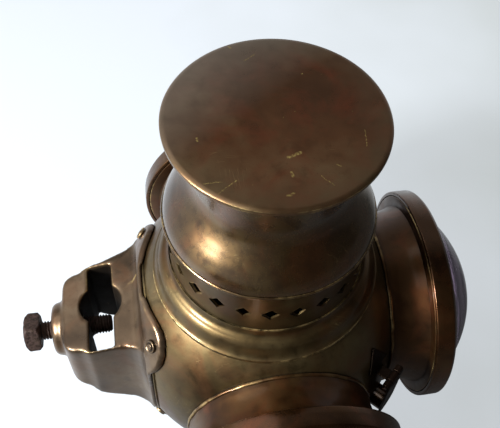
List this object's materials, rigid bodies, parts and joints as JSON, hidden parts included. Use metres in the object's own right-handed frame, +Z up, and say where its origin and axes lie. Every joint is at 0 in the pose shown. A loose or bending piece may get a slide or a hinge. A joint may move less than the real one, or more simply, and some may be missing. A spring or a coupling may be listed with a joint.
{
  "type": "railroad switch lamp",
  "caption": "Ball-bodied brass railroad lamp with lens barrels on its sides, a cast clamp bracket, a pierced and capped chimney and an oil fount below.",
  "frame": {"origin": "centre of the fount pot's flat underside, on the lamp's upright axis", "axes": "+Z up; +X through the right lens, away from the clamp bracket; -Y through the front lens, +Y through the back lens"},
  "size_m": [0.3075, 0.292, 0.3246],
  "materials": {
    "aged_brass": "brown aged patina, semi-gloss, brass showing on worn edges",
    "cast_bronze": "cast, brown patina with bright worn arrises",
    "rusty_iron": "dark rust",
    "lens_glass": "clear glass gone pale lilac",
    "gasket": "matt",
    "tinned_sheet": "dull tinned sheet",
    "wick_cotton": "flat woven cotton"
  },
  "bodies": {
    "lamp": {"body_shell": "aged_brass", "barrel_right": "aged_brass", "barrel_front": "aged_brass", "barrel_back": "aged_brass", "lens_ring_right": "aged_brass", "lens_ring_front": "aged_brass", "lens_ring_back": "aged_brass", "blank_disc": "aged_brass", "shoulder_collar": "aged_brass", "vent_ring": "aged_brass", "chimney_hood": "aged_brass", "top_cap": "aged_brass", "cap_stay_1": "aged_brass", "cap_stay_2": "aged_brass", "cap_stay_3": "aged_brass", "sight_tube": "aged_brass", "hinge_leaf": "aged_brass", "body_skirt": "aged_brass", "bracket_casting": "cast_bronze", "bracket_rivet_1": "cast_bronze", "bracket_rivet_2": "cast_bronze", "bracket_rivet_3": "cast_bronze", "bracket_rivet_4": "cast_bronze", "hinge_pin": "rusty_iron", "lens_right": "lens_glass", "lens_gasket_right": "gasket", "lens_front": "lens_glass", "lens_gasket_front": "gasket", "lens_back": "lens_glass", "lens_gasket_back": "gasket", "draught_tube": "tinned_sheet"},
    "clamp_screw": {"clamp_screw": "rusty_iron"},
    "sight_shutter": {"sight_shutter": "aged_brass"},
    "fount": {"fount_pot": "aged_brass", "fount_tank": "tinned_sheet", "fount_spring_1": "tinned_sheet", "fount_spring_2": "tinned_sheet", "fount_spring_3": "tinned_sheet", "burner_collar": "aged_brass", "burner_body": "aged_brass", "wick_tube": "aged_brass", "flame_cone": "aged_brass"},
    "wick_raiser": {"raiser_shaft": "aged_brass", "raiser_knob": "aged_brass"},
    "wick": {"wick": "wick_cotton"},
    "filler_cap": {"filler_cap": "aged_brass"}
  },
  "joints": [
    {"name": "clamp_screw_travel", "type": "slide", "parent": "lamp", "child": "clamp_screw", "axis": [-1, 0, 0], "range_m": [-0.0048, 0.016]},
    {"name": "shutter_swing", "type": "hinge", "parent": "lamp", "child": "sight_shutter", "pos_m": [0.07155, -0.07409, 0.154], "axis": [-0.7193, -0.6947, 0], "range_deg": [0, 100]},
    {"name": "fount_twist", "type": "hinge", "parent": "lamp", "child": "fount", "pos_m": [0, 0, 0.046], "axis": [0, 0, 1], "range_deg": [0, 24]},
    {"name": "raiser_turn", "type": "hinge", "parent": "fount", "child": "wick_raiser", "pos_m": [-0.00368, 0.00368, 0.0904], "axis": [-0.7071, -0.7071, 0], "range_deg": [-100, 80]},
    {"name": "wick_rise", "type": "slide", "parent": "fount", "child": "wick", "axis": [0, 0, 1], "range_m": [-0.0072, 0.006]},
    {"name": "filler_cap_turn", "type": "hinge", "parent": "fount", "child": "filler_cap", "pos_m": [-0.038, 0, 0.0758], "axis": [0, 0, 1], "continuous": true}
  ],
  "couplings": [
    {"joint": "wick_rise", "follows": "raiser_turn", "m_per_rad": 0.004}
  ]
}
